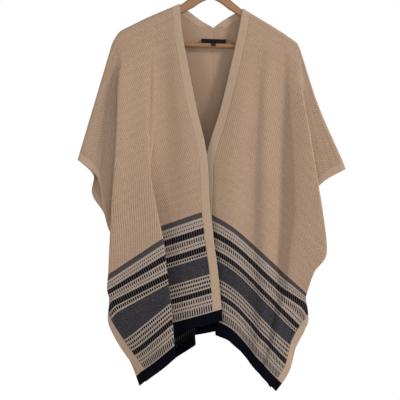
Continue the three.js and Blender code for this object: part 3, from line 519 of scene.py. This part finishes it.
def cloth_piece(name, cloth, distances, start, end, materials, fullness=1.0):
    """One knitted piece: the part of a cloth between two edges, given as functions of distance."""
    outer, inner, places = [], [], []
    inside = None
    for distance in distances:
        first, last = start(distance), end(distance)
        first_length = cloth.length_at(distance, first)
        last_length = cloth.length_at(distance, last)
        if inside is None:
            inside = [k / FACES_A_SPAN for k in range(math.ceil(first * FACES_A_SPAN) + 1,
                                                      math.floor(last * FACES_A_SPAN))]
            stretch = (first, last)
        room = min(ROUNDING, (last_length - first_length) / 3)
        ends = np.array(EDGE_STEPS) / ROUNDING * room
        near = cloth.position_at(distance, first_length + ends)
        far = cloth.position_at(distance, last_length - ends[::-1])
        low, high = near[-1], far[0]
        share = (np.array(inside) - stretch[0]) / (stretch[1] - stretch[0])
        middle = low + (high - low) * np.clip(share, 0.001, 0.999) if len(inside) else []
        positions = np.concatenate([near, middle, far])
        lengths = cloth.length_at(distance, positions)
        edge = np.minimum(lengths - first_length, last_length - lengths)
        edge = np.minimum(edge, min(distance - distances[0], distances[-1] - distance))
        turn = 1 - np.clip(edge / ROUNDING, 0, 1)
        half = SEAM_HALF + (WALL / 2 * fullness - SEAM_HALF) * np.sqrt(1 - turn**2)
        points = cloth.points(positions, distance)
        normals = cloth.normals(positions, distance)
        fade = min(1, abs(distance) / RIPPLE_FADE)
        points = points + normals * (ripple(lengths, distance) * fade)[:, None]
        outer.append(points + normals * half[:, None])
        inner.append(points - normals * half[:, None])
        places.append(lengths)
    outer, inner, places = np.array(outer), np.array(inner), np.array(places)
    if cloth.outside < 0:
        outer, inner, places = outer[:, ::-1], inner[:, ::-1], places[:, ::-1]

    def uvs(row, column, first_row):
        """Along the course, and down from the top of the stripes, in metres."""
        middle = (distances[first_row] + distances[first_row + 1]) / 2
        length = FRONT_LENGTH if middle < 0 else BACK_LENGTH
        down = abs(distances[row]) - (length - STRIPES_ABOVE_HEM)
        return places[row][column] * MM, down * MM

    return add_wall(name, outer, inner, uvs, materials)


NECK_MITRE = NECK_DROP - BAND_WIDTH
BAND_END = NECK_DROP - 3  # the mitre's tip is left off, where the band would be a thread
PANEL_BOTTOM = -(FRONT_LENGTH - HEM_HEIGHT)
PANEL_BACK_BOTTOM = BACK_LENGTH - HEM_HEIGHT


def add_cloth(side, cloth, materials):
    """The sewn pieces of one side, each in the place of its own solid."""
    def band_width(distance):
        return BAND_WIDTH if distance <= NECK_MITRE else max(0, NECK_DROP - distance)

    def band_end(distance):
        return cloth.position_at(distance, band_width(distance) - SEAM)

    def panel_start(distance):
        if distance > NECK_DROP:
            return 0
        return cloth.position_at(distance, band_width(distance) + SEAM)

    def border_seam(shift):
        def position(distance):
            return cloth.position_at(distance, cloth.length_at(distance, BORDER_SPAN) + shift)
        return position

    def edge(distance):
        return 0

    def far_side(distance):
        return LAST_SPAN

    knit, band, navy = materials["knit"], materials["band"], materials["navy"]
    whole = courses_between(PANEL_BOTTOM, PANEL_BACK_BOTTOM, NECK_MITRE, BAND_END)
    panel = cloth_piece(f"{side}_panel_knit", cloth, whole, panel_start, border_seam(-SEAM), knit)
    front_band = cloth_piece(f"{side}_band_knit", cloth,
                             courses_between(PANEL_BOTTOM, BAND_END, NECK_MITRE),
                             edge, band_end, band, TRIM_FULLNESS)
    border = cloth_piece(f"{side}_border_knit", cloth, whole, border_seam(SEAM), far_side, band)
    front_hem = cloth_piece(f"{side}_front_hem_knit", cloth,
                            courses_between(-FRONT_LENGTH, PANEL_BOTTOM - 2 * SEAM),
                            edge, far_side, navy, TRIM_FULLNESS)
    back_hem = cloth_piece(f"{side}_back_hem_knit", cloth,
                           courses_between(PANEL_BACK_BOTTOM + 2 * SEAM, BACK_LENGTH),
                           edge, far_side, navy, TRIM_FULLNESS)
    made = (
        # piece, material slot, the solids that it stands for
        (panel, "beige_knit", ("front_panel", "back_panel")),
        (front_band, "band_knit", ("front_band",)),
        (border, "band_knit", ("front_border", "back_border")),
        (front_hem, "navy_knit", ("front_hem",)),
        (back_hem, "navy_knit", ("back_hem",)),
    )
    for piece, slot, nodes in made:
        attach(piece, "root")
        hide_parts(*(f"{side}_{node}" for node in nodes))


class Field:
    """A number that varies over a surface. Sums with it become the material's Math nodes."""

    def __init__(self, tree, socket):
        self.tree, self.socket = tree, socket

    def math(self, operation, *others):
        node = self.tree.nodes.new("ShaderNodeMath")
        node.operation = operation
        for place, value in enumerate((self, *others)):
            if isinstance(value, Field):
                self.tree.links.new(value.socket, node.inputs[place])
            else:
                node.inputs[place].default_value = value
        return Field(self.tree, node.outputs[0])

    def __add__(self, other):
        return self.math("ADD", other)

    def __sub__(self, other):
        return self.math("SUBTRACT", other)

    def __mul__(self, other):
        return self.math("MULTIPLY", other)

    def over(self, value):
        return self.math("GREATER_THAN", value)

    def below(self, value):
        return self.math("LESS_THAN", value)

    def between(self, low, high):
        return self.over(low) * self.below(high)

    def wave(self, period, phase=0.0):
        """A sine from -1 to 1 with this period."""
        return (self * (2 * math.pi / period) + phase).math("SINE")

    def saw(self, period):
        """From 0 to 1 along each period."""
        return (self * (1 / period)).math("FRACT")

    def most(self, other):
        return self.math("MAXIMUM", other)


def linear(red, green, blue):
    """An everyday 0 to 255 colour as the linear one that materials hold."""
    def one(value):
        value /= 255
        return value / 12.92 if value <= 0.04045 else ((value + 0.055) / 1.055) ** 2.4
    return (one(red), one(green), one(blue), 1.0)


class Surface:
    """A material with its shader, its coordinates and helpers for its nodes."""

    def __init__(self, name, roughness, metallic=0.0, sheen=0.0):
        self.material = bpy.data.materials.new(name)
        self.material.use_nodes = True
        self.tree = self.material.node_tree
        self.shader = self.tree.nodes["Principled BSDF"]
        self.shader.inputs["Roughness"].default_value = roughness
        self.shader.inputs["Metallic"].default_value = metallic
        self.shader.inputs["Sheen Weight"].default_value = sheen
        self.shader.inputs["Sheen Roughness"].default_value = 0.5
        self.places = self.tree.nodes.new("ShaderNodeTexCoord")

    def coordinates(self, kind):
        split = self.tree.nodes.new("ShaderNodeSeparateXYZ")
        self.tree.links.new(self.places.outputs[kind], split.inputs[0])
        return [Field(self.tree, split.outputs[k]) for k in range(3)]

    def noise(self, scale, detail=2.0, vector=None):
        """A soft random field around one half."""
        node = self.tree.nodes.new("ShaderNodeTexNoise")
        node.inputs["Scale"].default_value = scale
        node.inputs["Detail"].default_value = detail
        source = vector if vector is not None else self.places.outputs["Object"]
        self.tree.links.new(source, node.inputs["Vector"])
        return Field(self.tree, node.outputs["Fac"])

    def joined(self, x, y, z):
        node = self.tree.nodes.new("ShaderNodeCombineXYZ")
        for place, value in enumerate((x, y, z)):
            self.tree.links.new(value.socket, node.inputs[place])
        return node.outputs[0]

    def mix(self, share, first, second, blend="MIX"):
        """A colour between two, each a socket or a plain colour."""
        node = self.tree.nodes.new("ShaderNodeMix")
        node.data_type = "RGBA"
        node.blend_type = blend
        if isinstance(share, Field):
            self.tree.links.new(share.socket, node.inputs["Factor"])
        else:
            node.inputs["Factor"].default_value = share
        for socket, value in ((node.inputs[6], first), (node.inputs[7], second)):
            if isinstance(value, tuple):
                socket.default_value = value
            else:
                self.tree.links.new(value, socket)
        return node.outputs[2]

    def colour(self, socket):
        self.tree.links.new(socket, self.shader.inputs["Base Color"])

    def bump(self, height, strength, depth):
        node = self.tree.nodes.new("ShaderNodeBump")
        node.inputs["Strength"].default_value = strength
        node.inputs["Distance"].default_value = depth
        self.tree.links.new(height.socket, node.inputs["Height"])
        self.tree.links.new(node.outputs[0], self.shader.inputs["Normal"])


STITCH = 2.35 * MM  # one stitch across
BUMP = 6.2 * MM  # the repeat of the body's texture
ROW = 1.9 * MM  # one course of stitches
TICK = 5.8 * MM  # the repeat of the small motifs
FLOAT_ROW = 22 * MM  # the repeat of the floats down the inside

BEIGE = linear(185, 157, 134)
BEIGE_LIGHT = linear(209, 183, 159)
BEIGE_DARK = linear(141, 112, 90)
BAND = linear(169, 144, 123)
CREAM = linear(161, 150, 142)
GREY = linear(46, 44, 48)
GREY_LIGHT = linear(80, 77, 80)
TAUPE = linear(72, 64, 62)
NAVY = linear(3, 4, 14)
NAVY_LIGHT = linear(8, 10, 25)
NAVY_DARK = linear(5, 6, 13)
REVERSE = linear(188, 159, 135)
WOOD = linear(132, 90, 55)
WOOD_LIGHT = linear(164, 121, 78)
WOOD_DARK = linear(112, 76, 48)
STEEL = linear(196, 198, 200)
STEEL_LIGHT = linear(222, 223, 224)
LABEL_BLACK = linear(8, 7, 9)
TAB_BROWN = linear(38, 24, 22)
SHEEN = 0.12  # of the fuzz on beige yarn


def stitches(along, down):
    """The height of plain knitting: a V for each stitch, leaning both ways from its middle."""
    lean = (along.saw(STITCH) - 0.5).math("ABSOLUTE")
    return (lean * ROW + down).wave(ROW)


def moss(along, down):
    """The height of a small purl and plain texture, whose bumps lie in slanting rows."""
    bumps = along.wave(BUMP) * down.wave(BUMP)
    return bumps * 0.7 + (along - down * 0.7).wave(BUMP) * 0.7


def knit_surface(name, main, light, dark, pattern=moss, strength=0.5, sheen=SHEEN):
    """Plain knitting in one heathered yarn: its surface, its two coordinates and its shade."""
    s = Surface(name, 0.92, sheen=sheen)
    s.shader.inputs["Specular IOR Level"].default_value = 0.08
    along, down, _ = s.coordinates("UV")
    height = pattern(along, down)
    yarn = s.noise(900, 3)
    slubs, patches = s.noise(170, 2), s.noise(14, 2)
    shade = s.mix(height * 0.34 + 0.52, dark, main)
    shade = s.mix((yarn - 0.42).math("MAXIMUM", 0) * 1.6, shade, light)
    shade = s.mix((slubs - 0.5).math("MAXIMUM", 0) * 0.8, shade, dark)
    shade = s.mix((patches - 0.5).math("MAXIMUM", 0) * 0.5, shade, dark)
    s.colour(shade)
    s.bump(height + yarn * 0.8, strength, 0.8 * MM)
    return s, along, down, shade


# The stripes at the bottom, in millimetres down from the top of the first one. Their ground is
# cream, apart from two heathered bands.
GROUNDS = (
    # top, bottom, colour
    (0, 13, TAUPE),
    (105, 149, GREY),
)
BAR = 0.84  # the dark share of a bar
SLIT_SHOWS = 0.6  # how much of the dark yarn shows in the slits of a bar
MOTIFS = (
    # top, bottom, share of the repeat that is dark, shift along the course as a share of it
    (19, 22, 0.5, 0.0),
    (28, 31, 0.55, 0.5),
    (37, 52, BAR, 0.0),
    (56, 66, 0.5, 0.0),
    (71, 74, 0.55, 0.5),
    (80, 94, BAR, 0.0),
    (96.5, 102, 0.68, 0.5),
    (152.5, 158, 0.68, 0.0),
    (162.5, 168, 0.68, 0.5),
    (172.5, 178, 0.68, 0.0),
    (182, 195, BAR, 0.5),
    (199, 208, 0.5, 0.0),
    (213, 216.5, 0.58, 0.5),
    (221, 237, 0.52, 0.0),
)


def motif_mask(along, down):
    """One where the dark yarn of a motif shows. It shows through the slits of a bar too."""
    mask = None
    for top, bottom, share, shift in MOTIFS:
        tick = (along + shift * TICK).saw(TICK).below(share)
        if share == BAR:
            tick = tick.most(SLIT_SHOWS)
        here = down.between(top * MM, bottom * MM) * tick
        mask = here if mask is None else mask.most(here)
    return mask


def striped_knit():
    """The body's outside: beige, with the stripes and their small motifs at the bottom."""
    s, along, down, shade = knit_surface("body_knit", BEIGE, BEIGE_LIGHT, BEIGE_DARK)
    wobble = (s.noise(420, 1) - 0.5) * (1.2 * MM)
    level = down + wobble
    flecks = (s.noise(330, 4) - 0.4).math("MAXIMUM", 0) * 2.2
    shade = s.mix(level.over(0) * 0.75, shade, CREAM)
    for top, bottom, ground in GROUNDS:
        shade = s.mix(level.between(top * MM, bottom * MM), shade,
                      s.mix(flecks, ground, GREY_LIGHT))
    motifs = motif_mask(along + wobble, level)
    s.colour(s.mix(motifs, shade, NAVY))
    s.tree.links.new((motifs * -SHEEN + SHEEN).socket, s.shader.inputs["Sheen Weight"])
    return s.material


def reverse_knit():
    """The body's inside: smooth beige, and the dark floats behind the stripes."""
    s, along, down, shade = knit_surface("body_reverse", REVERSE, BEIGE, BEIGE_DARK,
                                         pattern=stitches, strength=0.3)
    plain_band_bottom = GROUNDS[0][1]
    floats = down.over(plain_band_bottom * MM)
    ticks = along.saw(TICK).below(0.25) * down.saw(FLOAT_ROW).below(0.4)
    dark = s.mix(ticks * 0.3, NAVY, CREAM)
    s.colour(s.mix(floats, shade, dark))
    return s.material


def satin(name, colour):
    """A woven label: fine threads both ways."""
    s = Surface(name, 0.7, sheen=0.02)
    s.shader.inputs["Specular IOR Level"].default_value = 0.2
    along, down, _ = s.coordinates("UV")
    height = along.wave(0.5 * MM) + down.wave(0.35 * MM)
    s.colour(s.mix(height * 0.08 + 0.15, colour, tuple(0.5 * c for c in colour[:3]) + (1.0,)))
    s.bump(height, 0.3, 0.1 * MM)
    return s.material


def wood():
    """Stained beech with its grain along the arms."""
    s = Surface("stained_wood", 0.42)
    x, y, z = s.coordinates("Object")
    across = x.math("ABSOLUTE") * 0.52 + z
    grain = s.noise(9, 6, s.joined(x * 1.2, y * 22, across * 22))
    fine = s.noise(60, 4, s.joined(x * 1.5, y * 14, across * 14))
    shade = s.mix(grain, WOOD, WOOD_LIGHT)
    shade = s.mix((fine - 0.5).math("MAXIMUM", 0) * 1.5, shade, WOOD_DARK)
    s.colour(shade)
    s.bump(fine, 0.15, 0.3 * MM)
    return s.material


def steel():
    """Bright wire, duller where it is worn."""
    s = Surface("hook_steel", 0.25, metallic=1.0)
    wear = s.noise(220, 4)
    s.colour(s.mix(wear, STEEL, STEEL_LIGHT))
    s.tree.links.new((wear * 0.25 + 0.15).socket, s.shader.inputs["Roughness"])
    return s.material


def make_materials():
    body, reverse = striped_knit(), reverse_knit()
    band = knit_surface("band_knit", BAND, BEIGE_LIGHT, BEIGE, pattern=stitches,
                        strength=0.35)[0].material
    navy = knit_surface("navy_knit", NAVY, NAVY_LIGHT, NAVY_DARK, pattern=stitches,
                        strength=0.4, sheen=0.0)[0].material
    return {"knit": (body, reverse), "band": (band, band), "navy": (navy, navy),
            "wood": wood(), "steel": steel(), "label": satin("label_satin", LABEL_BLACK),
            "tab": satin("tab_satin", TAB_BROWN)}


def curve_bend(start, control, end, steps=10):
    """Points of a quadratic curve after its start."""
    a, b, c = (np.array(point, float) for point in (start, control, end))
    return [tuple((1 - t)**2 * a + 2 * t * (1 - t) * b + t**2 * c)
            for t in (k / steps for k in range(1, steps + 1))]


def hanger_outline():
    """The front view of the two arms, as in the part's solid."""
    path = [(0, -90)]

    def top(point):
        return point[0], point[1] - ARM_LOWERED

    def bend(control, end):
        path.extend(curve_bend(path[-1], control, end))

    bend((20, -95), (40, -113))
    path.append((190, -207))
    bend((196, -216), (203, -214))
    bend((209, -208), (203, -197))
    path.extend([top((196, -188.5)), top(LEFT_TOP["tuck"]), top(LEFT_TOP["edge"])])
    bend((45, -92), (16, -63))
    bend((0, -60), (-16, -62))
    bend((-48, -88), top(RIGHT_TOP["edge"]))
    path.extend([top(RIGHT_TOP["ridge"]), top((-206, -164))])
    bend((-217, -172), (-217, -186))
    path.append((-216, -200))
    bend((-208, -208), (-199, -199))
    path.extend([(-188, -182), (-40, -111)])
    bend((-20, -95), (0, -90))
    return path[:-1]


def add_curve(name, points, material, closed=False, **settings):
    """A mesh from a curve through points of the X-Z plane, in millimetres."""
    data = bpy.data.curves.new(name, "CURVE")
    data.dimensions = "2D" if closed else "3D"
    spline = data.splines.new("POLY")
    spline.points.add(len(points) - 1)
    for place, (x, z) in zip(spline.points, points):
        place.co = (x * MM, z * MM, 0, 1)
    spline.use_cyclic_u = closed
    for key, value in settings.items():
        setattr(data, key, value)
    holder = bpy.data.objects.new(name, data)
    bpy.context.scene.collection.objects.link(holder)
    graph = bpy.context.evaluated_depsgraph_get()
    mesh = bpy.data.meshes.new_from_object(holder.evaluated_get(graph))
    bpy.data.objects.remove(holder)
    for vertex in mesh.vertices:
        x, y, z = vertex.co
        vertex.co = (x, -z, y)
    mesh.materials.clear()
    mesh.materials.append(material)
    mesh.shade_smooth()
    piece = bpy.data.objects.new(name, mesh)
    bpy.context.scene.collection.objects.link(piece)
    return piece


def add_hanger(materials):
    """The two arms, the crossbar between their tips and the hook."""
    arms = add_curve("hanger_arms_wood", hanger_outline(), materials["wood"], closed=True,
                     fill_mode="BOTH", extrude=(ARM_THICKNESS / 2 - ARM_BEVEL) * MM,
                     bevel_depth=ARM_BEVEL * MM, bevel_resolution=5, offset=-ARM_BEVEL * MM)
    bar = add_curve("crossbar_wood", BAR_ENDS, materials["wood"], bevel_depth=BAR_RADIUS * MM,
                    bevel_resolution=8, use_fill_caps=True)
    centre = WIRE_RADIUS - HOOK_RADIUS
    turn = [math.radians(degrees) for degrees in range(200, -51, -5)]
    path = [(HOOK_RADIUS * math.cos(a), centre + HOOK_RADIUS * math.sin(a)) for a in turn]
    path += curve_bend(path[-1], (1, -39), (0, -50)) + [(0, -60), (0, SHANK_BOTTOM)]
    hook = add_curve("hook_steel_wire", path, materials["steel"], bevel_depth=WIRE_RADIUS * MM,
                     bevel_resolution=6, use_fill_caps=True)
    for piece, node, slot in ((arms, "hanger_arms", "wood"), (bar, "crossbar", "wood"),
                              (hook, "hook", "steel")):
        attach(piece, "root")
        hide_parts(node)


def add_label(name, node, slot, material, width, height, thick, lean=0, roll=0, bow=0.15):
    """A small woven sheet in the place of its solid, which leans back by lean and bows a little
    along its width."""
    rows, columns = 13, 41
    low, high = (np.array(corner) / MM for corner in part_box(node))
    centre = (low + high) / 2
    outer, inner = [], []
    turn = np.array([[math.cos(roll), 0, math.sin(roll)], [0, 1, 0],
                     [-math.sin(roll), 0, math.cos(roll)]])
    tip = np.array([[1, 0, 0], [0, math.cos(lean), math.sin(lean)],
                    [0, -math.sin(lean), math.cos(lean)]])
    for i in range(rows):
        outer.append([])
        inner.append([])
        for j in range(columns):
            across, up = j / (columns - 1) * 2 - 1, 1 - i / (rows - 1) * 2
            edge = min(1 - abs(across), (1 - abs(up)) * height / width)
            half = thick / 2 * (0.4 + 0.6 * min(1, edge * width / 2))
            out = bow * (math.cos(across * 4.2) * 0.6 + across * up)
            for face, sign in ((outer, -1), (inner, 1)):
                point = np.array([across * width / 2, out + sign * half, up * height / 2])
                face[-1].append(turn @ (tip @ point) + centre)

    def uvs(row, column, first_row):
        return column / columns * width * MM, row / rows * height * MM

    piece = add_wall(name, np.array(outer)[:, ::-1], np.array(inner)[:, ::-1], uvs,
                     (material, material))
    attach(piece, "root")
    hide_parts(node)
    return piece


LABEL_SIZE = (59, 14.8)
LABEL_LEAN = math.radians(45)
LABEL_ROLL = math.atan2(11.4, 416)
TAB_SIZE = (11.4, 7.2)


def add_labels(materials):
    label = add_label("woven_label", "label", "label_satin", materials["label"], *LABEL_SIZE,
                      0.7, LABEL_LEAN, LABEL_ROLL, 0.25)
    tab = add_label("size_tab_woven", "size_tab", "tab_satin", materials["tab"], *TAB_SIZE, 0.5)


# The camera stands where the photograph was taken from, in metres
VIEW_CENTRE = (-0.025, -0.573)  # x and z
VIEW_WIDTH = 0.960
VIEW_DISTANCE = 4.0


def add_camera():
    data = bpy.data.cameras.new("camera")
    data.sensor_fit = "HORIZONTAL"
    data.angle = 2 * math.atan(VIEW_WIDTH / 2 / VIEW_DISTANCE)
    camera = bpy.data.objects.new("camera", data)
    camera.location = (VIEW_CENTRE[0], -VIEW_DISTANCE, VIEW_CENTRE[1])
    camera.rotation_euler = (math.pi / 2, 0, 0)
    bpy.context.scene.collection.objects.link(camera)
    bpy.context.scene.camera = camera


MIDDLE = (0, 0, -0.5)  # of the garment
LIGHTS = (
    # name, place, aim, diameter, power in watts
    ("key", (2.85, -1.55, 1.3), MIDDLE, 0.7, 94),
    ("front", (0.2, -3.8, 0.3), MIDDLE, 1.2, 26),
    ("sleeve", (-1.3, -0.7, -0.2), (-0.3, 0, -0.4), 0.4, 5),
    ("back_left", (-2.0, 2.4, 0.8), MIDDLE, 1.4, 45),
    ("back_right", (2.0, 2.4, 0.8), MIDDLE, 1.4, 45),
)
FILL = 0.3  # the strength of the soft light all round
FLOOR_SIDES = 64
FLOOR_RADIUS = 2.4
FLOOR_LEVEL = -1.6


def add_light(name, place, aim, size, power):
    data = bpy.data.lights.new(name, "AREA")
    data.shape = "DISK"
    data.size = size
    data.energy = power
    light = bpy.data.objects.new(name, data)
    light.location = place
    way = np.array(aim) - np.array(place)
    flat = math.hypot(way[0], way[1])
    light.rotation_euler = (math.pi / 2 + math.atan2(way[2], flat), 0,
                            math.atan2(-way[0], way[1]))
    bpy.context.scene.collection.objects.link(light)


def add_world():
    """A white backdrop for the camera, and soft light all round."""
    world = bpy.data.worlds.new("studio")
    bpy.context.scene.world = world
    world.use_nodes = True
    tree = world.node_tree
    tree.nodes.clear()
    output = tree.nodes.new("ShaderNodeOutputWorld")
    seen = tree.nodes.new("ShaderNodeLightPath")
    backdrop, fill = tree.nodes.new("ShaderNodeBackground"), tree.nodes.new("ShaderNodeBackground")
    backdrop.inputs["Color"].default_value = (1, 1, 1, 1)
    fill.inputs["Color"].default_value = (1, 1, 1, 1)
    fill.inputs["Strength"].default_value = FILL
    mix = tree.nodes.new("ShaderNodeMixShader")
    tree.links.new(seen.outputs["Is Camera Ray"], mix.inputs[0])
    tree.links.new(fill.outputs[0], mix.inputs[1])
    tree.links.new(backdrop.outputs[0], mix.inputs[2])
    tree.links.new(mix.outputs[0], output.inputs["Surface"])


def add_floor():
    """A round pale floor below the garment."""
    mesh = bpy.data.meshes.new("floor")
    turns = [2 * math.pi * k / FLOOR_SIDES for k in range(FLOOR_SIDES)]
    ring = [(FLOOR_RADIUS * math.cos(turn), FLOOR_RADIUS * math.sin(turn), FLOOR_LEVEL)
            for turn in turns]
    mesh.from_pydata(ring, [], [tuple(range(FLOOR_SIDES))])
    s = Surface("pale_floor", 0.8)
    s.colour(s.mix(s.noise(3, 2), (0.78, 0.78, 0.77, 1), (0.82, 0.82, 0.81, 1)))
    mesh.materials.append(s.material)
    floor = bpy.data.objects.new("floor", mesh)
    bpy.context.scene.collection.objects.link(floor)


def add_studio():
    add_world()
    for light in LIGHTS:
        add_light(*light)
    add_floor()
    bpy.context.scene.view_settings.view_transform = "Standard"


materials = make_materials()
for side, cloth in make_cloths().items():
    add_cloth(side, cloth, materials)
add_hanger(materials)
add_labels(materials)
add_camera()
add_studio()
